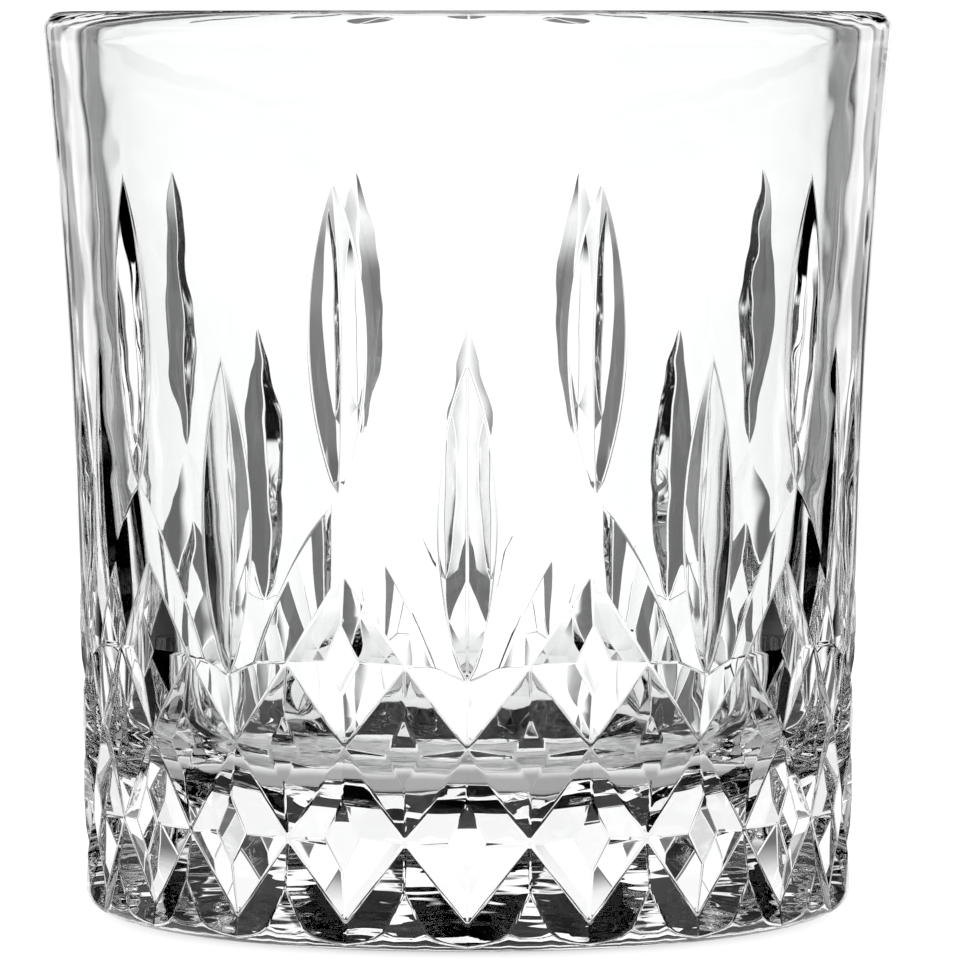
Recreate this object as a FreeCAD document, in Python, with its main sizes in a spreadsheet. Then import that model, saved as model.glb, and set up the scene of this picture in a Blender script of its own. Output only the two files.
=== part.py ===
"""Pressed-glass whiskey tumbler: one piece of clear glass, ten-fold cut pattern.

The tumbler stands on z = 0 with +Z up its axis and a column of low ovals facing -Y.
It is made the way its mould is made: a turned blank, two rings of lens-shaped mitre
cuts, and a lattice of faceted diamonds trimmed from the lower wall.
"""
import FreeCAD, Part
import math
import os

import Sketcher
from FreeCAD import Placement, Rotation, Vector

DIMENSIONS = {
    # Blank, outside
    "total_height": 89.3,
    "foot_radius": 38.3,          # lower wall carried down to z = 0
    "lower_wall_lean": 0.0205,    # radius gained per mm of height
    "flare_start": 34.0,          # height where the lower cone turns into the flare
    "flare_radius": 685.0,
    "rim_round": 1.75,            # half of the wall at the rim, fully rounded
    "foot_round": 2.1,
    "rest_ring_inner": 31.0,      # the underside is hollow inside this radius
    "underside_rise": 0.9,
    # Blank, cavity
    "bowl_height": 9.3,           # of the lowest point of the cavity's bowl-shaped bottom
    "bowl_radius": 80.0,
    "cavity_corner": 6.0,
    "cavity_wall_lean": 0.064,
    # Lens-shaped mitre cuts
    "repeats": 10,
    "tall_oval_bottom": 43.6,
    "tall_oval_top": 72.7,
    "tall_oval_width": 6.1,
    "low_oval_bottom": 25.9,
    "low_oval_top": 55.5,
    "low_oval_width": 6.2,
    "oval_depth": 1.5,
    # Lattice of diamonds: heights of the rows where its grooves cross
    "row_top": 36.2,
    "row_upper": 27.4,
    "row_middle": 19.5,
    "row_lower": 10.55,
    "row_foot": 2.6,
    "groove_depth": 0.9,
    "flat_inset": 0.1,            # the diamonds' flats lie just under the blank's skin
    "flat_reach": 0.4,            # height of a flat over the height of its diamond
    "band_peak": 43.7,            # the bevel bands run out here, under a tall oval
    "band_dip": 26.0,             # and here, under a low oval
}

CLEAR_RADIUS = 46.0               # a radius outside all of the glass
CLEAR_TOP = 100.0                 # heights above and below all of it
CLEAR_BOTTOM = -1.0
UP = Vector(0, 0, 1)


def make_sheet(doc):
    """The driving dimensions, one row and alias each."""
    sheet = doc.addObject("Spreadsheet::Sheet", "Dims")
    for row, (name, value) in enumerate(DIMENSIONS.items(), start=1):
        sheet.set(f"A{row}", name)
        sheet.set(f"B{row}", str(value))
        sheet.setAlias(f"B{row}", name)
    doc.recompute()
    return sheet


def wall_radius(dims, height):
    """Outside radius of the blank at a height: a cone, then the flare's arc."""
    above = max(height - dims.flare_start, 0)
    return dims.foot_radius + dims.lower_wall_lean * height + above**2 / (2 * dims.flare_radius)


def wall_lean(dims, height):
    """Slope of the outside wall at a height."""
    return dims.lower_wall_lean + max(height - dims.flare_start, 0) / dims.flare_radius


def origin_feature(body, role):
    return next(item for item in body.Origin.OriginFeatures if item.Role == role)


def add_sketch(body, name, role):
    """A sketch on one of the body's own origin planes."""
    sketch = body.newObject("Sketcher::SketchObject", name)
    sketch.AttachmentSupport = [(origin_feature(body, role), "")]
    sketch.MapMode = "FlatFace"
    return sketch


def bind(sketch, name, expression, *constraint):
    """Add one dimension to a sketch and drive it from the sheet."""
    index = sketch.addConstraint(Sketcher.Constraint(*constraint))
    sketch.renameConstraint(index, name)
    sketch.setExpression(f"Constraints.{name}", expression)


def draw_half_section(sketch, dims):
    """Half section of the blank: x is the radius, y the height."""
    quarter = math.pi / 2
    lean = math.atan(dims.lower_wall_lean)
    rim_round = dims.rim_round
    foot_round = dims.foot_round
    corner = dims.cavity_corner
    bowl = dims.bowl_height
    bowl_radius = dims.bowl_radius
    ring = dims.rest_ring_inner
    rise = dims.underside_rise

    flare_foot = Vector(wall_radius(dims, dims.flare_start), dims.flare_start)
    flare_centre = flare_foot + Vector(math.cos(lean), -math.sin(lean)) * dims.flare_radius
    rim_height = dims.total_height - rim_round
    rim_centre = Vector(wall_radius(dims, rim_height) - rim_round, rim_height)
    flare_top = math.pi - math.asin((rim_height - flare_centre.y) / dims.flare_radius)
    wall_top = rim_centre - Vector(rim_round, 0)
    drop = rim_height - bowl - 2 * corner
    wall_foot = wall_top - Vector(drop * dims.cavity_wall_lean, drop)
    bowl_centre = Vector(0, bowl + bowl_radius)
    bowl_angle = math.asin((wall_foot.x - corner) / (bowl_radius - corner))
    foot_centre = Vector(dims.foot_radius - foot_round, foot_round)
    under_radius = (ring**2 + rise**2) / (2 * rise)
    under_angle = math.asin(ring / under_radius)

    def line(start, end):
        return sketch.addGeometry(Part.LineSegment(start, end), False)

    def arc(centre, radius, begin, end):
        circle = Part.Circle(centre, UP, radius)
        return sketch.addGeometry(Part.ArcOfCircle(circle, begin, end), False)

    axis = line(Vector(0, rise), Vector(0, bowl))
    bowl_arc = arc(bowl_centre, bowl_radius, -quarter, bowl_angle - quarter)
    corner_arc = arc(wall_foot - Vector(corner, 0), corner, bowl_angle - quarter, 0)
    cavity_wall = line(wall_foot, wall_top)
    rim_arc = arc(rim_centre, rim_round, 0, math.pi)
    flare = arc(flare_centre, dims.flare_radius, flare_top, math.pi - lean)
    cone = line(foot_centre + Vector(foot_round, 0), flare_foot)
    foot_arc = arc(foot_centre, foot_round, -quarter, 0)
    ring_line = line(Vector(foot_centre.x, 0), Vector(ring, 0))
    underside = arc(Vector(0, rise - under_radius), under_radius,
                    quarter - under_angle, quarter)

    start, end, centre = 1, 2, 3
    origin = (-1, 1)
    across, upright = -1, -2
    for relation in (
        ("PointOnObject", axis, start, upright),
        ("PointOnObject", axis, end, upright),
        ("Coincident", axis, end, bowl_arc, start),
        ("PointOnObject", bowl_arc, centre, upright),
        ("Tangent", bowl_arc, end, corner_arc, start),
        ("Tangent", corner_arc, end, cavity_wall, start),
        ("Tangent", cavity_wall, end, rim_arc, end),
        ("Tangent", rim_arc, start, flare, start),
        ("Tangent", flare, end, cone, end),
        ("Tangent", cone, start, foot_arc, end),
        ("Tangent", foot_arc, start, ring_line, start),
        ("PointOnObject", ring_line, end, across),
        ("Horizontal", ring_line),
        ("Coincident", ring_line, end, underside, start),
        ("Coincident", underside, end, axis, start),
        ("PointOnObject", underside, centre, upright),
    ):
        sketch.addConstraint(Sketcher.Constraint(*relation))

    bind(sketch, "rise", "Dims.underside_rise", "DistanceY", *origin, axis, start, rise)
    bind(sketch, "bowl", "Dims.bowl_height", "DistanceY", *origin, axis, end, bowl)
    bind(sketch, "bowl_radius", "Dims.bowl_radius", "Radius", bowl_arc, bowl_radius)
    bind(sketch, "ring", "Dims.rest_ring_inner", "DistanceX", *origin, ring_line, end, ring)
    bind(sketch, "corner", "Dims.cavity_corner", "Radius", corner_arc, corner)
    bind(sketch, "rim_round", "Dims.rim_round", "Radius", rim_arc, rim_round)
    bind(sketch, "foot_round", "Dims.foot_round", "Radius", foot_arc, foot_round)
    bind(sketch, "flare_radius", "Dims.flare_radius", "Radius", flare, dims.flare_radius)
    bind(sketch, "rim_height", "Dims.total_height - Dims.rim_round",
         "DistanceY", *origin, rim_arc, centre, rim_height)
    bind(sketch, "flare_height", "Dims.flare_start",
         "DistanceY", *origin, cone, end, flare_foot.y)
    bind(sketch, "flare_reach", "Dims.foot_radius + Dims.lower_wall_lean * Dims.flare_start",
         "DistanceX", *origin, cone, end, flare_foot.x)
    bind(sketch, "cone_angle", "90 deg - atan(Dims.lower_wall_lean)",
         "Angle", cone, quarter - lean)
    bind(sketch, "cavity_angle", "90 deg - atan(Dims.cavity_wall_lean)",
         "Angle", cavity_wall, quarter - math.atan(dims.cavity_wall_lean))


def cut_oval(body, dims, name, column):
    """One vertical lens cut, made by a V-edged wheel; column counts half repeats from -Y.

    The wheel's radius follows from the lens's length and depth, and its V angle from the
    width. Its axle is tangential, square to the wall at the middle of the lens.
    """
    bottom = getattr(dims, f"{name}_oval_bottom")
    top = getattr(dims, f"{name}_oval_top")
    width = getattr(dims, f"{name}_oval_width")
    depth = dims.oval_depth
    overcut = 3                   # the V's section is drawn this many depths tall
    middle = (bottom + top) / 2
    wheel_radius = (top - bottom)**2 / (8 * depth)
    lean = math.atan(wall_lean(dims, middle))
    axle_radius = wall_radius(dims, middle) + (wheel_radius - depth) * math.cos(lean)
    axle_height = middle - (wheel_radius - depth) * math.sin(lean)

    middle_cell = f"((Dims.{name}_oval_bottom + Dims.{name}_oval_top) / 2)"
    wheel_cell = f"((Dims.{name}_oval_top - Dims.{name}_oval_bottom)^2 / (8 * Dims.oval_depth))"
    above_cell = f"({middle_cell} - Dims.flare_start)"
    lean_cell = f"atan(Dims.lower_wall_lean + {above_cell} / Dims.flare_radius)"
    wall_cell = (f"Dims.foot_radius + Dims.lower_wall_lean * {middle_cell}"
                 f" + {above_cell}^2 / (2 * Dims.flare_radius)")

    sketch = add_sketch(body, f"{name}_oval_section", "XY_Plane")
    turn = Rotation(UP, column * 180 / dims.repeats)
    sketch.AttachmentOffset = Placement(UP * axle_height, turn)
    sketch.setExpression("AttachmentOffset.Base.z",
                         f"{middle_cell} - ({wheel_cell} - Dims.oval_depth) * sin({lean_cell})")
    tip = Vector(0, wheel_radius - axle_radius)
    left = tip + Vector(-width / 2, -depth) * overcut
    right = tip + Vector(width / 2, -depth) * overcut
    axle_left = Vector(-width / 2, -axle_radius)
    axle_right = Vector(width / 2, -axle_radius)
    start, end = 1, 2
    origin = (-1, 1)
    upright = -2
    left_side = sketch.addGeometry(Part.LineSegment(tip, left), False)
    outside = sketch.addGeometry(Part.LineSegment(left, right), False)
    right_side = sketch.addGeometry(Part.LineSegment(right, tip), False)
    axle = sketch.addGeometry(Part.LineSegment(axle_left, axle_right), True)
    for relation in (
        ("Coincident", left_side, end, outside, start),
        ("Coincident", outside, end, right_side, start),
        ("Coincident", right_side, end, left_side, start),
        ("PointOnObject", left_side, start, upright),
        ("Symmetric", outside, start, outside, end, upright),
        ("Symmetric", axle, start, axle, end, upright),
    ):
        sketch.addConstraint(Sketcher.Constraint(*relation))
    bind(sketch, "section_width", f"Dims.{name}_oval_width * {overcut}",
         "DistanceX", outside, start, outside, end, width * overcut)
    bind(sketch, "section_height", f"Dims.oval_depth * {overcut}",
         "DistanceY", outside, start, left_side, start, depth * overcut)
    bind(sketch, "axle_width", f"Dims.{name}_oval_width",
         "DistanceX", axle, start, axle, end, width)
    bind(sketch, "wheel_radius", wheel_cell,
         "DistanceY", axle, start, left_side, start, wheel_radius)
    bind(sketch, "axle_radius",
         f"{wall_cell} + ({wheel_cell} - Dims.oval_depth) * cos({lean_cell})",
         "DistanceY", axle, start, *origin, axle_radius)

    groove = body.newObject("PartDesign::Groove", f"{name}_oval")
    groove.Profile = sketch
    groove.ReferenceAxis = (sketch, ["Axis0"])
    groove.Angle = 360
    return groove


def make_blank(doc, dims):
    """The turned blank with its two rings of lens cuts."""
    body = doc.addObject("PartDesign::Body", "cut_blank")
    half_section = add_sketch(body, "half_section", "XZ_Plane")
    draw_half_section(half_section, dims)
    turned = body.newObject("PartDesign::Revolution", "turned_glass")
    turned.Profile = half_section
    turned.ReferenceAxis = (half_section, ["V_Axis"])
    turned.Angle = 360
    doc.recompute()

    ovals = [cut_oval(body, dims, "low", 0), cut_oval(body, dims, "tall", 1)]
    doc.recompute()
    if not ovals[1].Shape.Volume < ovals[0].Shape.Volume < turned.Shape.Volume:
        raise RuntimeError("an oval cut removed no glass")
    rings = body.newObject("PartDesign::PolarPattern", "oval_rings")
    rings.Originals = ovals
    rings.Axis = (origin_feature(body, "Z_Axis"), [""])
    rings.Angle = 360
    rings.setExpression("Occurrences", "Dims.repeats")
    body.Tip = rings
    doc.recompute()
    return body


def on_column(column, radius, height, repeats):
    """A point over a column; columns count half repeats anticlockwise from -Y."""
    angle = column * math.pi / repeats - math.pi / 2
    return Vector(radius * math.cos(angle), radius * math.sin(angle), height)


def meeting_point(planes):
    """Where three planes meet, each given by three of its points."""
    (n1, d1), (n2, d2), (n3, d3) = [plane_form(points) for points in planes]
    total = n2.cross(n3) * d1 + n3.cross(n1) * d2 + n1.cross(n2) * d3
    return total / n1.dot(n2.cross(n3))


def flat_plane(lower, upper):
    """The plane of a flat, through two points of its middle column and square to it."""
    return lower, lower + UP.cross(lower), upper


def plane_form(points):
    """A plane's normal and its distance from the origin along it."""
    normal = (points[1] - points[0]).cross(points[2] - points[0]).normalize()
    return normal, normal.dot(points[0])


class Lattice:
    """Grooves and facets of the diamond pattern, as faces of one star-shaped solid.

    The grooves run straight between crossings. Each diamond is a blunt pyramid: four
    plane facets climb from its grooves to a flat that lies along the wall. Above the
    top row, broad bevel bands climb from the grooves and out through the wall.
    """

    def __init__(self, dims):
        self.dims = dims
        self.faces = []

    def crossing(self, column, height):
        """Where grooves meet, at the bottom of the groove."""
        radius = wall_radius(self.dims, height) - self.dims.groove_depth
        return on_column(column, radius, height, self.dims.repeats)

    def flat_point(self, column, height):
        """A point of the flats' surface over the middle column of a diamond."""
        radius = wall_radius(self.dims, height) - self.dims.flat_inset
        return on_column(column, radius, height, self.dims.repeats)

    def add(self, *corners):
        self.faces.append(Part.Face(Part.makePolygon([*corners, corners[0]])))

    def diamond(self, column, high, sides, low):
        """One diamond: its rows of crossings are high, sides and low."""
        middle = (high + low) / 2
        reach = (high - low) / 2 * self.dims.flat_reach
        top, bottom = self.crossing(column, high), self.crossing(column, low)
        flat_top = self.flat_point(column, middle + reach)
        flat_bottom = self.flat_point(column, middle - reach)
        flat = flat_plane(flat_bottom, flat_top)
        flat_sides = []
        for step in (-0.5, 0.5):
            side = self.crossing(column + step, sides)
            flat_side = meeting_point([(top, side, flat_top), (bottom, side, flat_bottom), flat])
            self.add(top, side, flat_side, flat_top)
            self.add(bottom, side, flat_side, flat_bottom)
            flat_sides.append(flat_side)
        self.add(flat_top, flat_sides[0], flat_bottom, flat_sides[1])

    def foot_diamond(self, column):
        """The half diamond under the lowest row, open downwards to the foot."""
        dims = self.dims
        top = self.crossing(column, dims.row_lower)
        reach = (dims.row_lower - dims.row_foot) * (1 - dims.flat_reach)
        flat_top = self.flat_point(column, dims.row_lower - reach)
        flat = flat_plane(self.flat_point(column, dims.row_foot), flat_top)
        floor = (Vector(0, 0, CLEAR_BOTTOM), Vector(1, 0, CLEAR_BOTTOM), Vector(0, 1, CLEAR_BOTTOM))
        flat_feet = []
        edge_feet = []
        for step in (-0.5, 0.5):
            side = self.crossing(column + step, dims.row_foot)
            mirror = (Vector(0, 0, 0), UP, side)
            slope = (top, side, flat_top)
            flat_foot = meeting_point([slope, flat, floor])
            edge_foot = meeting_point([slope, mirror, floor])
            self.add(top, side, edge_foot, flat_foot, flat_top)
            flat_feet.append(flat_foot)
            edge_feet.append(edge_foot)
        self.add(flat_top, *flat_feet)
        return [edge_feet[0], *flat_feet, edge_feet[1]]

    def band_pair(self, column, mirror_step):
        """The bevel band from a tall oval's column down to the low oval's beside it.

        It is two planes that meet over the crossing between them. Returned are the
        band's outer corners, from the tall oval's column to the low oval's.
        """
        dims = self.dims
        peak = self.crossing(column, dims.row_top)
        knee = self.crossing(column + mirror_step / 2, dims.row_upper)
        dip = self.crossing(column + mirror_step, dims.row_middle)
        over_peak = on_column(column, wall_radius(dims, dims.band_peak), dims.band_peak,
                              dims.repeats)
        over_dip = on_column(column + mirror_step, wall_radius(dims, dims.band_dip),
                             dims.band_dip, dims.repeats)
        upper = plane_form((peak, knee, over_peak))[0]
        lower = plane_form((knee, dip, over_dip))[0]
        fold = upper.cross(lower)
        outer = [carry_out(peak, over_peak - peak), carry_out(knee, fold),
                 carry_out(dip, over_dip - dip)]
        self.add(peak, knee, outer[1], outer[0])
        self.add(knee, dip, outer[2], outer[1])
        return outer

    def solid(self):
        """The whole envelope, closed above, below and round the outside."""
        dims = self.dims
        foot_ring = []
        top_ring = []
        for repeat in range(dims.repeats):
            tall = 2 * repeat + 1
            self.diamond(tall, dims.row_top, dims.row_upper, dims.row_middle)
            for column in (tall - 0.5, tall + 0.5):
                self.diamond(column, dims.row_upper, dims.row_middle, dims.row_lower)
            for column in (tall, tall + 1):
                self.diamond(column, dims.row_middle, dims.row_lower, dims.row_foot)
            for column in (tall - 0.5, tall + 0.5):
                foot_ring += self.foot_diamond(column)[:-1]
            top_ring += self.band_pair(tall, -1)[:0:-1]
            top_ring += self.band_pair(tall, 1)[:-1]
        raised = [Vector(point.x, point.y, CLEAR_TOP) for point in top_ring]
        for index, point in enumerate(top_ring):
            self.add(top_ring[index - 1], point, raised[index], raised[index - 1])
        self.add(*raised)
        self.add(*foot_ring)
        shell = Part.makeShell(self.faces)
        shell.sewShape()
        return Part.makeSolid(shell)


def carry_out(start, direction):
    """Follow a direction upwards from a point until it is clear of all the glass."""
    if direction.z < 0:
        direction = -direction
    outward = Vector(start.x, start.y, 0).normalize()
    gap = CLEAR_RADIUS - start.dot(outward)
    return start + direction * (gap / direction.dot(outward))


def make_tumbler(doc, dims):
    """The blank trimmed to the lattice's envelope."""
    blank = make_blank(doc, dims)
    envelope = doc.addObject("Part::Feature", "facet_envelope")
    envelope.Shape = Lattice(dims).solid()
    envelope.Placement = Placement()
    tumbler = doc.addObject("Part::Common", "tumbler_glass")
    tumbler.Label = "tumbler_glass"
    tumbler.Base = blank
    tumbler.Tool = envelope
    tumbler.Placement = Placement()
    doc.recompute()
    return tumbler


def check(doc, sub_parts):
    """Stop if any object failed, or a sub-part is not one sound solid."""
    for item in doc.Objects:
        if "Invalid" in item.State or "Error" in item.State:
            raise RuntimeError(f"{item.Name} failed: {item.State}")
    for sub_part in sub_parts:
        shape = sub_part.Shape
        if shape.isNull() or not shape.isValid() or len(shape.Solids) != 1:
            raise RuntimeError(f"{sub_part.Label} is not one valid solid")


def main():
    doc = FreeCAD.newDocument("whiskey_tumbler")
    dims = make_sheet(doc)
    sub_parts = [make_tumbler(doc, dims)]
    check(doc, sub_parts)
    os.makedirs("parts", exist_ok=True)
    for sub_part in sub_parts:
        sub_part.Shape.exportStep(f"parts/{sub_part.Label}.step")
        print(sub_part.Label, "volume", round(sub_part.Shape.Volume / 1000, 1), "cm3")


main()
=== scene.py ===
"""Whiskey tumbler in pressed clear glass, on a pale table in soft studio light.

The glass is one closed mesh that replaces the plain CAD solid. Its shape is worked out
from the same dimensions, and the creases of its pattern are rounded as fire polishing
leaves them. Lengths in the shape functions are millimetres; the mesh is in metres.
"""

import math

import bmesh
import bpy
from mathutils import Matrix, Vector, noise


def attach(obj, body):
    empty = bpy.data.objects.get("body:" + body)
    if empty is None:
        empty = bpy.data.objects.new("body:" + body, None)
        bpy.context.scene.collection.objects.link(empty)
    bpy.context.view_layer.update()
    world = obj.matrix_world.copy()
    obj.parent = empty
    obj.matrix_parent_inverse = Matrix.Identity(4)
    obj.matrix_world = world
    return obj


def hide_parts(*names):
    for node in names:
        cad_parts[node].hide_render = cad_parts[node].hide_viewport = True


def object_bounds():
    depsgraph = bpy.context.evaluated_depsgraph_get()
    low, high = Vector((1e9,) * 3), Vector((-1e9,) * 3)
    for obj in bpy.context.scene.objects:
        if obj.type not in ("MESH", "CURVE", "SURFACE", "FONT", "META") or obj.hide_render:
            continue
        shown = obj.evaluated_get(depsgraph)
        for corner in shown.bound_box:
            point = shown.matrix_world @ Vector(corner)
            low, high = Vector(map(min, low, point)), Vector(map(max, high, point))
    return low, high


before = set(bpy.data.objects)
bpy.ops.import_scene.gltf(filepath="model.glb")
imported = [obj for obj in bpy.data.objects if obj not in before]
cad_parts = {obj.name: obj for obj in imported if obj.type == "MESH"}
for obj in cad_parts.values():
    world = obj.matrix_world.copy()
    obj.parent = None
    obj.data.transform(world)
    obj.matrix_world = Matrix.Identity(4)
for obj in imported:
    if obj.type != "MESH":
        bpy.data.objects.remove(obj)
CAD_LOW, CAD_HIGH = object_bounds()
MM = 0.001

# ---------------------------------------------------------------- dimensions (mm)
HEIGHT = (CAD_HIGH[2] - CAD_LOW[2]) / MM
FOOT_RADIUS = 38.3                 # lower wall carried down to the table
LOWER_WALL_LEAN = 0.0205           # radius gained per mm of height
FLARE_START = 34.0                 # height where the lower cone turns into the flare
FLARE_RADIUS = 685.0
RIM_ROUND = 1.75                   # half of the wall at the rim, fully rounded
FOOT_ROUND = 2.1
RING_INNER = 31.0                  # the underside is hollow inside this radius
UNDERSIDE_RISE = 0.9
BOWL_HEIGHT = 9.3                  # of the lowest point of the cavity's bowl-shaped bottom
BOWL_RADIUS = 80.0
CAVITY_CORNER = 6.0
CAVITY_WALL_LEAN = 0.064

REPEATS = 10
OVAL_DEPTH = 1.5
LOW_OVAL = (25.9, 55.5, 6.2)       # bottom, top, width
TALL_OVAL = (43.6, 72.7, 6.1)
ROW_TOP = 36.2                     # heights of the rows where the grooves cross
ROW_UPPER = 27.4
ROW_MIDDLE = 19.5
ROW_LOWER = 10.55
ROW_FOOT = 2.6
GROOVE_DEPTH = 0.9
FLAT_INSET = 0.1                   # the diamonds' flats lie just under the wall's surface
FLAT_REACH = 0.4                   # height of a flat over the height of its diamond
BAND_PEAK = 43.7                   # the bevel bands run out here, under a tall oval
BAND_DIP = 26.0                    # and here, under a low oval

# ---------------------------------------------------------------- mesh fineness
WALL_COLUMNS = 14                  # across half a repeat
OVAL_COLUMNS = 3                   # across half an oval
ROW_STEP = 1.1                     # mm between rows of the wall
ROUND_STEPS = 10                   # along the rim's, foot's and cavity corner's arcs
RING_STEPS = 2                     # across the resting ring
DOME_STEPS = 24                    # from the resting ring to the middle of the underside
BOWL_STEPS = 30                    # from the cavity's corner to the middle of its bottom
SAME_POINT = 1e-5                  # mm between corners of a face that are taken as one
SAME_HEIGHT = 1e-6                 # mm between a row of the wall and an oval's top
WELD = 0.003                       # mm between the corners of neighbouring faces

# ---------------------------------------------------------------- creases and ripples
CREASE_WIDTH = 0.2                 # mm, how far a crease's rounding reaches each side
CREASE_SEGMENTS = 3
CREASE_ANGLE = math.radians(6)     # an edge of the pattern that turns less is no crease
TIP_FADE = 1.2                     # mm of an oval's half width at which its creases are full
RIPPLE_LENGTH = 4.0                # mm, size of the waves that the chilled plunger leaves
RIPPLE_DEPTH = 0.12                # mm, on the cavity's bottom and the underside
WALL_RIPPLE = 0.08                 # their share on the walls
RIPPLE_FADE = (18.0, 36.0)         # heights between which the cavity's ripples die down
RIM_CLEAR = 6.0                    # mm under the top with no ripples
RING_CLEAR = 1.0                   # mm inside the resting ring with no ripples

# ---------------------------------------------------------------- finish, table and light
GLASS_TINT = (0.985, 0.99, 0.99)
GLASS_INDEX = 1.51
WAVE_SCALE = 140                   # waves per metre of the fire-polished skin's unevenness
WAVE_DEPTH = 0.00006               # metres
TABLE_WHITE = 0.15                 # share of the light that the table scatters
TABLE_GLOW = 1.0                   # the light that it gives
GLOW_IN_PAINTED_SHADE = 0.4                  # and gives under the glass, lower there as painted shade
PAINTED_SHADE_RADII = (0.030, 0.040)       # radii in metres between which that painted shade ends
TABLE_HALF_SIZE = (0.048, 0.12)    # metres across and from front to back
TABLE_FADE = 0.6                   # share of the half size at which the table starts to fade out
TABLE_DROP = 0.0002                # metres that it lies below the resting ring
STUDIO_LEVEL = 1.2                 # light of the white studio
LINE_STEP = 45                     # degrees between the eight lines that the strips stand clear of
STRIP_START = (15, 18)             # degrees off the eight lines where a grey strip fades in
STRIP_DEPTH = 0.85                 # share of the light that a strip holds back
FLAG_START = (36, 42)              # degrees aside where a black flag fades in
FLAG_TOP = (0.0, 0.1)              # sine of the height where flags and strips fade out
CEILING_START = (0.08, 0.14)       # sine of the height where the dark ceiling fades in
GLASS_BOUNCES = 32                 # how often light is followed through the glass
MIRROR_BOUNCES = 16                # and mirrored in it

# ---------------------------------------------------------------- camera
CAMERA_DISTANCE = 0.667            # metres in front of the glass's axis
CAMERA_HEIGHT = 0.0883             # metres, near the rim
CAMERA_AIM = Vector((0.0012, 0, 0.0425))
VIEW_WIDTH = 0.096                 # metres across the picture at the point aimed at
SENSOR_WIDTH = 36                  # mm

WALL, CAVITY, FOOT, OVAL, FACET = range(5)      # kinds of surface patch
UP = Vector((0, 0, 1))


# ---------------------------------------------------------------- shape of the glass
def wall_radius(height):
    """Outside radius at a height: a cone, then the flare's arc."""
    above = max(height - FLARE_START, 0)
    return FOOT_RADIUS + LOWER_WALL_LEAN * height + above**2 / (2 * FLARE_RADIUS)


def on_column(column, radius, height):
    """A point over a column; columns count half repeats anticlockwise from -Y."""
    angle = column * math.pi / REPEATS - math.pi / 2
    return Vector((radius * math.cos(angle), radius * math.sin(angle), height))


def crossing(column, height):
    """Where grooves meet, at the bottom of the groove."""
    return on_column(column, wall_radius(height) - GROOVE_DEPTH, height)


def flat_point(column, height):
    """A point of the flats' surface over the middle column of a diamond."""
    return on_column(column, wall_radius(height) - FLAT_INSET, height)


def plane_form(points):
    """A plane's normal and its distance from the origin along it."""
    normal = (points[1] - points[0]).cross(points[2] - points[0]).normalized()
    return normal, normal.dot(points[0])


def meeting_point(*planes):
    """Where three planes meet, each given by three of its points."""
    (n1, d1), (n2, d2), (n3, d3) = [plane_form(points) for points in planes]
    total = n2.cross(n3) * d1 + n3.cross(n1) * d2 + n1.cross(n2) * d3
    return total / n1.dot(n2.cross(n3))


def bisect(function, low, high, steps=50):
    """Where a function changes sign between two arguments."""
    rising = function(high) > 0
    for _ in range(steps):
        middle = (low + high) / 2
        if (function(middle) > 0) == rising:
            high = middle
        else:
            low = middle
    return (low + high) / 2


class Oval:
    """A vertical lens cut by a V-edged wheel, over one column."""

    def __init__(self, bottom, top, width):
        middle = (bottom + top) / 2
        lean = math.atan(LOWER_WALL_LEAN + max(middle - FLARE_START, 0) / FLARE_RADIUS)
        self.wheel = (top - bottom)**2 / (8 * OVAL_DEPTH)
        offset = self.wheel - OVAL_DEPTH
        self.axle_radius = wall_radius(middle) + offset * math.cos(lean)
        self.axle_height = middle - offset * math.sin(lean)
        self.slope = OVAL_DEPTH / (width / 2)
        self.bottom = bisect(self.clearance, middle, bottom - 2)
        self.top = bisect(self.clearance, middle, top + 3)

    def bed(self, across, height):
        """How far out the cut's surface lies, at a distance across from its middle."""
        reach = self.wheel - abs(across) * self.slope
        return self.axle_radius - math.sqrt(reach**2 - (height - self.axle_height)**2)

    def clearance(self, height):
        return self.bed(0, height) - wall_radius(height)

    def half_angle(self, height):
        """Half of the cut's width at a height, as an angle in half repeats."""
        if not self.bottom < height < self.top:
            return 0.0
        across = bisect(lambda x: math.hypot(x, self.bed(x, height)) - wall_radius(height),
                        0, 5)
        return math.asin(across / wall_radius(height)) * REPEATS / math.pi

    def point(self, share, height, column, side):
        """A point of the cut, from its mitre line (share 0) to its edge (share 1)."""
        edge_angle = side * self.half_angle(height) * math.pi / REPEATS
        across = share * wall_radius(height) * math.sin(edge_angle)
        angle = column * math.pi / REPEATS
        flat = Vector((across, -self.bed(across, height), height))
        return Matrix.Rotation(angle, 3, "Z") @ flat


class Surface:
    """Faces of the glass, each with the kind of patch that it belongs to."""

    def __init__(self):
        self.mesh = bmesh.new()
        self.patch = self.mesh.faces.layers.int.new("patch")

    def add(self, points, patch):
        """One face, unless its corners fall together."""
        tidy = [p for i, p in enumerate(points) if (p - points[i - 1]).length > SAME_POINT]
        if len(tidy) < 3:
            return
        face = self.mesh.faces.new([self.mesh.verts.new(p) for p in tidy])
        face[self.patch] = patch
        face.smooth = True

    def grid(self, rows, patch):
        """The faces between rows of points that have the same number of points."""
        for lower, upper in zip(rows, rows[1:]):
            for i in range(len(lower) - 1):
                self.add([lower[i], lower[i + 1], upper[i + 1], upper[i]], patch)


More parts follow.
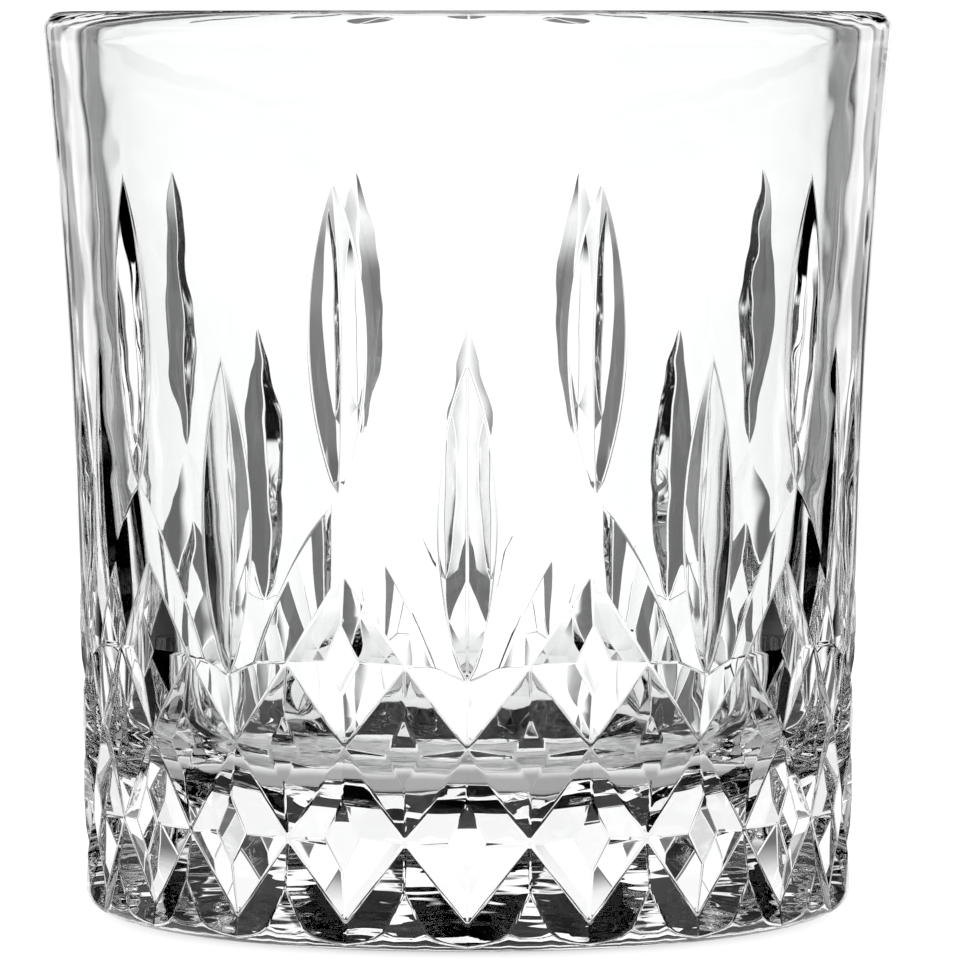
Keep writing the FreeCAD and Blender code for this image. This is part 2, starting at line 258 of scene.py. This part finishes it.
def diamond(surface, column, high, sides, low, steps=(-0.5, 0.5)):
    """A blunt pyramid between four crossings, or the half of it on one side."""
    reach = (high - low) / 2 * FLAT_REACH
    middle = (high + low) / 2
    top, bottom = crossing(column, high), crossing(column, low)
    flat_top, flat_bottom = flat_point(column, middle + reach), flat_point(column, middle - reach)
    flat = (flat_bottom, flat_bottom + UP.cross(flat_bottom), flat_top)
    outline = [flat_top]
    for step in steps:
        side = crossing(column + step, sides)
        flat_side = meeting_point((top, side, flat_top), (bottom, side, flat_bottom), flat)
        surface.add([top, side, flat_side, flat_top], FACET)
        surface.add([bottom, side, flat_side, flat_bottom], FACET)
        outline += [flat_side, flat_bottom]
    surface.add(outline if len(steps) == 1 else outline[:4], FACET)


def foot_outline():
    """The curve where the foot's round meets the lowest facets, over half a repeat.

    Returned are the facets' shared corner, the columns of the curve's points, the points,
    each one's angle on the foot's round, and the place of its two corners in the list.
    """
    top = crossing(0.5, ROW_LOWER)
    flat_top = flat_point(0.5, ROW_LOWER - (ROW_LOWER - ROW_FOOT) * (1 - FLAT_REACH))
    flat_foot = flat_point(0.5, ROW_FOOT)
    planes = [plane_form((top, crossing(0, ROW_FOOT), flat_top)),
              plane_form((flat_foot, flat_foot + UP.cross(flat_foot), flat_top)),
              plane_form((top, crossing(1, ROW_FOOT), flat_top))]
    planes = [(n, d) if d > 0 else (-n, -d) for n, d in planes]

    def heights(column, turn):
        point = foot_point(column, turn)
        return [n.dot(point) - d for n, d in planes]

    def turn_at(column):
        return bisect(lambda turn: max(heights(column, turn)), -math.pi / 2, 0)

    def slope_over_flat(column):
        above = heights(column, turn_at(column))
        return above[1] - above[0]

    corner = bisect(slope_over_flat, 0, 0.5)
    slope_steps = max(round(WALL_COLUMNS * corner), 2)
    flat_steps = WALL_COLUMNS - 2 * slope_steps
    columns = [corner * i / slope_steps for i in range(slope_steps)]
    columns += [corner + (1 - 2 * corner) * i / flat_steps for i in range(flat_steps)]
    columns += [1 - corner * (slope_steps - i) / slope_steps for i in range(slope_steps + 1)]
    turns = [turn_at(column) for column in columns]
    points = [foot_point(column, turn) for column, turn in zip(columns, turns)]
    return flat_top, columns, turns, points, (slope_steps, slope_steps + flat_steps)


def foot_point(column, turn):
    """A point of the foot's rounded corner; the turn is 0 outside and -90 degrees below."""
    radius = FOOT_RADIUS - FOOT_ROUND + FOOT_ROUND * math.cos(turn)
    return on_column(column, radius, FOOT_ROUND * (1 + math.sin(turn)))


def foot(surface):
    """The lowest row of half diamonds, the rounded foot, its ring and the hollow inside."""
    flat_top, columns, turns, points, (first, last) = foot_outline()
    top = crossing(0.5, ROW_LOWER)
    surface.add([flat_top, top, crossing(0, ROW_FOOT), *points[:first + 1]], FACET)
    surface.add([flat_top, *points[first:last + 1]], FACET)
    surface.add([top, flat_top, *points[last:], crossing(1, ROW_FOOT)], FACET)
    rows = [[foot_point(column, turn + (-math.pi / 2 - turn) * i / ROUND_STEPS)
             for column, turn in zip(columns, turns)] for i in range(ROUND_STEPS + 1)]
    surface.grid(rows, FOOT)

    dome_radius = (RING_INNER**2 + UNDERSIDE_RISE**2) / (2 * UNDERSIDE_RISE)
    ring_outer = FOOT_RADIUS - FOOT_ROUND
    ring = [ring_outer + (RING_INNER - ring_outer) * i / RING_STEPS
            for i in range(RING_STEPS + 1)]
    dome = [RING_INNER * (1 - i / DOME_STEPS) for i in range(DOME_STEPS + 1)]
    surface.grid([[on_column(column, radius, 0) for column in columns] for radius in ring], FOOT)
    rows = []
    for radius in dome:
        rise = UNDERSIDE_RISE - dome_radius + math.sqrt(dome_radius**2 - radius**2)
        rows.append([on_column(column, radius, rise) for column in columns])
    surface.grid(rows, FOOT)


def band_planes():
    """The two planes of a bevel band: from the tall oval's foot down to the low oval's."""
    peak, knee, dip = crossing(1, ROW_TOP), crossing(0.5, ROW_UPPER), crossing(0, ROW_MIDDLE)
    over_peak = on_column(1, wall_radius(BAND_PEAK), BAND_PEAK)
    over_dip = on_column(0, wall_radius(BAND_DIP), BAND_DIP)
    return plane_form((peak, knee, over_peak)), plane_form((dip, knee, over_dip))


def band_edge(plane, height):
    """The column where a band's plane comes out through the wall at a height."""
    normal, distance = plane
    radius = wall_radius(height)
    return bisect(lambda c: normal.dot(on_column(c, radius, height)) - distance, -0.1, 1.1)


def band_fold():
    """Where the fold between a band's two planes comes out through the wall."""
    (upper_normal, _), (lower_normal, _) = band_planes()
    knee = crossing(0.5, ROW_UPPER)
    fold = upper_normal.cross(lower_normal)
    fold *= math.copysign(1, fold.z)
    out = bisect(lambda t: math.hypot(*(knee + fold * t).xy) - wall_radius((knee + fold * t).z),
                 0, 40)
    return knee + fold * out


def rows_between(low, high):
    """Heights from low up to, not including, high."""
    count = max(round((high - low) / ROW_STEP), 1)
    return [low + (high - low) * i / count for i in range(count)]


def wall(surface, rim_foot):
    """The smooth wall between the bands and the rim, the bands, and the two ovals."""
    low_oval, tall_oval = Oval(*LOW_OVAL), Oval(*TALL_OVAL)
    upper, lower = band_planes()
    fold_height = band_fold().z
    marks = [BAND_DIP, fold_height, BAND_PEAK, low_oval.top, tall_oval.top, rim_foot]
    heights = [z for a, b in zip(marks, marks[1:]) for z in rows_between(a, b)] + [rim_foot]

    edge = []
    rows = []
    for height in heights:
        left = low_oval.half_angle(height) if height > BAND_DIP else 0.0
        if height <= BAND_DIP:
            right = 0.0
        elif height < BAND_PEAK:
            right = band_edge(lower if height < fold_height else upper, height)
        else:
            right = 1 - (tall_oval.half_angle(height) if height > BAND_PEAK else 0.0)
        row = [on_column(left + (right - left) * i / WALL_COLUMNS, wall_radius(height), height)
               for i in range(WALL_COLUMNS + 1)]
        rows.append(row)
        if height <= BAND_PEAK:
            edge.append(row[-1])
    surface.grid(rows, WALL)

    knee = crossing(0.5, ROW_UPPER)
    split = min(range(len(edge)), key=lambda i: abs(edge[i].z - fold_height))
    surface.add([knee, crossing(0, ROW_MIDDLE), *edge[:split + 1]], FACET)
    surface.add([crossing(1, ROW_TOP), knee, *edge[split:]], FACET)

    for oval, column, side, foot_height in ((low_oval, 0, 1, BAND_DIP),
                                            (tall_oval, 1, -1, BAND_PEAK)):
        bed = []
        for height in heights:
            if foot_height <= height <= oval.top + SAME_HEIGHT:
                tip = height == foot_height or height > oval.top - SAME_HEIGHT
                outer = on_column(column, wall_radius(height), height)
                bed.append([outer if tip else oval.point(i / OVAL_COLUMNS, height, column, side)
                            for i in range(OVAL_COLUMNS + 1)])
        surface.grid(bed, OVAL)
    return rows[-1]


def rim_profile():
    """Radii and heights over the rim, from its outer edge to its inner one."""
    centre_height = HEIGHT - RIM_ROUND
    outer_lean = math.atan(LOWER_WALL_LEAN + (centre_height - FLARE_START) / FLARE_RADIUS)
    inner_lean = math.atan(CAVITY_WALL_LEAN)
    rim_foot = centre_height - RIM_ROUND * math.sin(outer_lean)
    centre = wall_radius(rim_foot) - RIM_ROUND * math.cos(outer_lean)
    profile = []
    for i in range(2 * ROUND_STEPS + 1):
        turn = -outer_lean + (math.pi - inner_lean + outer_lean) * i / (2 * ROUND_STEPS)
        profile.append((centre + RIM_ROUND * math.cos(turn),
                        centre_height + RIM_ROUND * math.sin(turn)))
    return profile


def cavity_profile(top_radius, top_height):
    """Radii and heights from under the rim down the wall, the corner and the bowl."""
    lean = math.atan(CAVITY_WALL_LEAN)

    def corner_radius(height):
        """How far from the axis the corner's centre lies, if it is at a height."""
        return (top_radius - (top_height - height) * CAVITY_WALL_LEAN
                - CAVITY_CORNER / math.cos(lean))

    bowl_centre = BOWL_HEIGHT + BOWL_RADIUS
    corner_height = bisect(lambda z: math.hypot(corner_radius(z), bowl_centre - z)
                           - (BOWL_RADIUS - CAVITY_CORNER), BOWL_HEIGHT, top_height)
    corner_centre = corner_radius(corner_height)
    bowl_angle = math.atan(corner_centre / (bowl_centre - corner_height))
    drop = top_height - (corner_height - CAVITY_CORNER * math.sin(lean))
    count = round(drop / ROW_STEP)
    profile = []
    for i in range(1, count):
        step = drop * i / count
        profile.append((top_radius - step * CAVITY_WALL_LEAN, top_height - step))
    last_turn = bowl_angle - math.pi / 2
    for i in range(ROUND_STEPS + 1):
        turn = -lean + (lean + last_turn) * i / ROUND_STEPS
        profile.append((corner_centre + CAVITY_CORNER * math.cos(turn),
                        corner_height + CAVITY_CORNER * math.sin(turn)))
    for i in range(1, BOWL_STEPS + 1):
        turn = bowl_angle * (1 - i / BOWL_STEPS)
        profile.append((BOWL_RADIUS * math.sin(turn), bowl_centre - BOWL_RADIUS * math.cos(turn)))
    return profile


def rim_and_cavity(surface):
    """Rows over the rim and down to the middle of the cavity; returned is the rim's foot."""
    profile = rim_profile()
    rim_foot = profile[0][1]
    profile += cavity_profile(*profile[-1])
    rows = [[on_column(i / WALL_COLUMNS, radius, height) for i in range(WALL_COLUMNS + 1)]
            for radius, height in profile]
    surface.grid(rows, CAVITY)
    return rim_foot


def half_repeat():
    """The faces of one half repeat, between a low oval's column and a tall oval's."""
    surface = Surface()
    diamond(surface, 1, ROW_TOP, ROW_UPPER, ROW_MIDDLE, steps=(-0.5,))
    diamond(surface, 0.5, ROW_UPPER, ROW_MIDDLE, ROW_LOWER)
    diamond(surface, 0, ROW_MIDDLE, ROW_LOWER, ROW_FOOT, steps=(0.5,))
    diamond(surface, 1, ROW_MIDDLE, ROW_LOWER, ROW_FOOT, steps=(-0.5,))
    foot(surface)
    wall(surface, rim_and_cavity(surface))
    return surface.mesh


def glass_mesh():
    """All the half repeats, mirrored and turned round the axis and joined."""
    half = half_repeat()
    whole = bmesh.new()
    scratch = bpy.data.meshes.new("half_repeat")
    half.to_mesh(scratch)
    for repeat in range(REPEATS):
        turn = Matrix.Rotation(2 * math.pi * repeat / REPEATS, 4, "Z")
        for flip in (1, -1):
            copy = scratch.copy()
            copy.transform(turn @ Matrix.Diagonal((flip, 1, 1, 1)))
            if flip < 0:
                copy.flip_normals()
            whole.from_mesh(copy)
            bpy.data.meshes.remove(copy)
    half.free()
    bpy.data.meshes.remove(scratch)
    bmesh.ops.remove_doubles(whole, verts=whole.verts, dist=WELD)
    bmesh.ops.recalc_face_normals(whole, faces=whole.faces)
    return whole


# ---------------------------------------------------------------- ripples and creases
def ripple_depth(place, kinds):
    """How deep the ripples are at a point of the surface between these kinds of patch."""
    if place.z > HEIGHT - RIM_CLEAR:
        return 0.0
    if kinds == {WALL}:
        return RIPPLE_DEPTH * WALL_RIPPLE
    if kinds == {CAVITY}:
        low, high = RIPPLE_FADE
        share = min(max((place.z - low) / (high - low), 0), 1)
        return RIPPLE_DEPTH * (1 - share * (1 - WALL_RIPPLE))
    if kinds == {FOOT} and place.xy.length < RING_INNER - RING_CLEAR:
        return RIPPLE_DEPTH
    return 0.0


def add_ripples(whole, patch):
    """Push the smooth surfaces in and out a little, in waves that never repeat."""
    whole.normal_update()
    for vert in whole.verts:
        depth = ripple_depth(vert.co, {face[patch] for face in vert.link_faces})
        vert.co += vert.normal * depth * noise.noise(vert.co / RIPPLE_LENGTH)


def crease_weight(edge, patch, ovals):
    """How much an edge is rounded: 0 where the surface runs on smoothly."""
    kinds = {face[patch] for face in edge.link_faces}
    if not kinds & {OVAL, FACET} or edge.calc_face_angle(0) < CREASE_ANGLE:
        return 0.0
    if OVAL not in kinds:
        return 1.0
    middle = (edge.verts[0].co + edge.verts[1].co) / 2
    column = math.atan2(middle.x, -middle.y) * REPEATS / math.pi
    oval = ovals[round(column) % 2]
    half_width = oval.half_angle(middle.z) * math.pi / REPEATS * wall_radius(middle.z)
    return min(half_width / TIP_FADE, 1.0)


def add_glass(material):
    """The finished glass as one object, with its creases rounded."""
    whole = glass_mesh()
    patch = whole.faces.layers.int["patch"]
    weights = whole.edges.layers.float.new("bevel_weight_edge")
    ovals = (Oval(*LOW_OVAL), Oval(*TALL_OVAL))
    for edge in whole.edges:
        weight = crease_weight(edge, patch, ovals)
        edge[weights] = weight
        edge.smooth = weight == 0
    add_ripples(whole, patch)
    whole.transform(Matrix.Scale(MM, 4))
    mesh = bpy.data.meshes.new("glass_whole")
    whole.to_mesh(mesh)
    whole.free()
    rough = bpy.data.objects.new("glass_rough", mesh)
    bpy.context.scene.collection.objects.link(rough)
    bevel = rough.modifiers.new("creases", "BEVEL")
    bevel.limit_method = "WEIGHT"
    bevel.width = CREASE_WIDTH * MM
    bevel.segments = CREASE_SEGMENTS
    bevel.use_clamp_overlap = False
    bevel.harden_normals = True
    depsgraph = bpy.context.evaluated_depsgraph_get()
    finished = bpy.data.meshes.new_from_object(rough.evaluated_get(depsgraph))
    finished.name = "tumbler_body"
    finished.materials.clear()
    finished.materials.append(material)
    bpy.data.objects.remove(rough)
    glass = bpy.data.objects.new("tumbler_body", finished)
    bpy.context.scene.collection.objects.link(glass)
    return glass


# ---------------------------------------------------------------- materials
def new_material(name):
    """A material and its Principled shader."""
    material = bpy.data.materials.new(name)
    material.use_nodes = True
    shader = material.node_tree.nodes["Principled BSDF"]
    return material, shader


def glass_material():
    """Clear glass with a fire-polished skin that is very slightly uneven."""
    material, shader = new_material("clear_pressed_glass")
    shader.inputs["Base Color"].default_value = (*GLASS_TINT, 1)
    shader.inputs["Roughness"].default_value = 0.0
    shader.inputs["IOR"].default_value = GLASS_INDEX
    shader.inputs["Transmission Weight"].default_value = 1.0
    nodes, links = material.node_tree.nodes, material.node_tree.links
    waves = nodes.new("ShaderNodeTexNoise")
    waves.inputs["Scale"].default_value = WAVE_SCALE
    waves.inputs["Detail"].default_value = 1.0
    links.new(nodes.new("ShaderNodeTexCoord").outputs["Object"], waves.inputs["Vector"])
    bump = nodes.new("ShaderNodeBump")
    bump.inputs["Distance"].default_value = WAVE_DEPTH
    links.new(waves.outputs["Fac"], bump.inputs["Height"])
    links.new(bump.outputs["Normal"], shader.inputs["Normal"])
    return material


def studio_nodes(tree):
    """Two helpers that add a node to a tree and give its output."""
    nodes, links = tree.nodes, tree.links

    def math_node(operation, *values):
        node = nodes.new("ShaderNodeMath")
        node.operation = operation
        for socket, value in zip(node.inputs, values):
            if isinstance(value, bpy.types.NodeSocket):
                links.new(value, socket)
            else:
                socket.default_value = value
        return node.outputs[0]

    def fade(value, start, end):
        """0 up to start, 1 from end on, smooth between."""
        node = nodes.new("ShaderNodeMapRange")
        node.interpolation_type = "SMOOTHSTEP"
        links.new(value, node.inputs["Value"])
        node.inputs["From Min"].default_value = start
        node.inputs["From Max"].default_value = end
        return node.outputs["Result"]

    return math_node, fade


def floor_material():
    """White acrylic, lit a little from below, with a painted shade under the glass, that ends
    without an edge.
    """
    material, shader = new_material("pale_table")
    tree = material.node_tree
    math_node, fade = studio_nodes(tree)
    shader.inputs["Base Color"].default_value = (*[TABLE_WHITE] * 3, 1)
    shader.inputs["Roughness"].default_value = 0.8
    shader.inputs["Specular IOR Level"].default_value = 0.0
    shader.inputs["Emission Color"].default_value = (1, 1, 1, 1)
    place = tree.nodes.new("ShaderNodeTexCoord").outputs["Object"]
    distance = tree.nodes.new("ShaderNodeVectorMath")
    distance.operation = "LENGTH"
    tree.links.new(place, distance.inputs[0])
    # the table glows less under the glass: a painted shadow beneath the foot, not cast by any lamp
    clear = fade(distance.outputs["Value"], *PAINTED_SHADE_RADII)
    glow_and_painted_shade = math_node("MULTIPLY_ADD", clear, TABLE_GLOW - GLOW_IN_PAINTED_SHADE, GLOW_IN_PAINTED_SHADE)
    tree.links.new(glow_and_painted_shade, shader.inputs["Emission Strength"])
    scaled = tree.nodes.new("ShaderNodeVectorMath")
    scaled.operation = "DIVIDE"
    tree.links.new(place, scaled.inputs[0])
    scaled.inputs[1].default_value = (*TABLE_HALF_SIZE, 1)
    share = tree.nodes.new("ShaderNodeVectorMath")
    share.operation = "LENGTH"
    tree.links.new(scaled.outputs["Vector"], share.inputs[0])
    gone = fade(share.outputs["Value"], TABLE_FADE, 1)
    tree.links.new(math_node("SUBTRACT", 1.0, gone), shader.inputs["Alpha"])
    return material


# ---------------------------------------------------------------- stage, light, camera
def add_floor():
    """A pale oval table."""
    floor = bmesh.new()
    bmesh.ops.create_circle(floor, cap_ends=True, radius=1, segments=96)
    bmesh.ops.scale(floor, verts=floor.verts, vec=(*TABLE_HALF_SIZE, 1))
    mesh = bpy.data.meshes.new("pale_table")
    floor.to_mesh(mesh)
    floor.free()
    mesh.materials.append(floor_material())
    table = bpy.data.objects.new("pale_table", mesh)
    table.location.z = -TABLE_DROP
    bpy.context.scene.collection.objects.link(table)


def add_world():
    """A white studio with a dark ceiling, narrow grey strips and black flags, all soft-edged.

    The strips stand between eight lines through the glass, so that it is white behind the
    glass from the front, the sides, the back and halfway between them. The wide flags at the
    two sides are met only by light that was mirrored, in or on the glass, on its way.
    """
    world = bpy.data.worlds.new("studio")
    bpy.context.scene.world = world
    world.use_nodes = True
    tree = world.node_tree
    nodes, links = tree.nodes, tree.links
    nodes.clear()
    math_node, fade = studio_nodes(tree)
    direction = nodes.new("ShaderNodeTexCoord").outputs["Generated"]
    split = nodes.new("ShaderNodeSeparateXYZ")
    links.new(direction, split.inputs[0])
    x, y, z = split.outputs
    # angle away from the line between the front and the back, 0 to 90 degrees
    aside = math_node("ARCTAN2", math_node("ABSOLUTE", x), math_node("ABSOLUTE", y))
    # angle away from the nearest of the eight lines, 0 to half of what is between them
    off_line = math_node("PINGPONG", aside, math.radians(LINE_STEP / 2))
    standing = math_node("SUBTRACT", 1.0, fade(z, *FLAG_TOP))

    def card(angle, start):
        """1 on a card that stands where an angle is past its start, 0 off it."""
        return math_node("MULTIPLY", fade(angle, *map(math.radians, start)), standing)

    light_path = nodes.new("ShaderNodeLightPath").outputs
    # the ray depth is one more than the number of passes and mirrorings
    mirrorings = math_node("SUBTRACT", light_path["Ray Depth"], light_path["Transmission Depth"])
    mirrored = math_node("GREATER_THAN", mirrorings, 1.5)
    flag = math_node("MULTIPLY", card(aside, FLAG_START), mirrored)
    strip = math_node("MULTIPLY", card(off_line, STRIP_START), STRIP_DEPTH)
    cards = math_node("MAXIMUM", flag, strip)
    dark = math_node("MAXIMUM", cards, fade(z, *CEILING_START))
    level = math_node("MULTIPLY_ADD", dark, -STUDIO_LEVEL, STUDIO_LEVEL)
    white = math_node("MULTIPLY", light_path["Is Camera Ray"], STUDIO_LEVEL)
    background = nodes.new("ShaderNodeBackground")
    background.inputs["Color"].default_value = (1, 1, 1, 1)
    links.new(math_node("MAXIMUM", level, white), background.inputs["Strength"])
    output = nodes.new("ShaderNodeOutputWorld")
    links.new(background.outputs[0], output.inputs[0])


def add_camera():
    """A long lens at the height of the rim, turned down to the middle of the glass."""
    camera_data = bpy.data.cameras.new("camera")
    camera = bpy.data.objects.new("camera", camera_data)
    bpy.context.scene.collection.objects.link(camera)
    camera.location = (CAMERA_AIM.x, -CAMERA_DISTANCE, CAMERA_HEIGHT)
    view = CAMERA_AIM - camera.location
    camera.rotation_euler = view.to_track_quat("-Z", "Y").to_euler()
    camera_data.sensor_width = SENSOR_WIDTH
    camera_data.lens = SENSOR_WIDTH * view.length / VIEW_WIDTH
    camera_data.clip_start = 0.01
    camera_data.clip_end = 50
    bpy.context.scene.camera = camera


glass = add_glass(glass_material())
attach(glass, "root")
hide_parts("tumbler_glass")
add_floor()
add_world()
add_camera()
bpy.context.scene.view_settings.view_transform = "Standard"
bpy.context.scene.cycles.max_bounces = GLASS_BOUNCES
bpy.context.scene.cycles.transmission_bounces = GLASS_BOUNCES
bpy.context.scene.cycles.glossy_bounces = MIRROR_BOUNCES
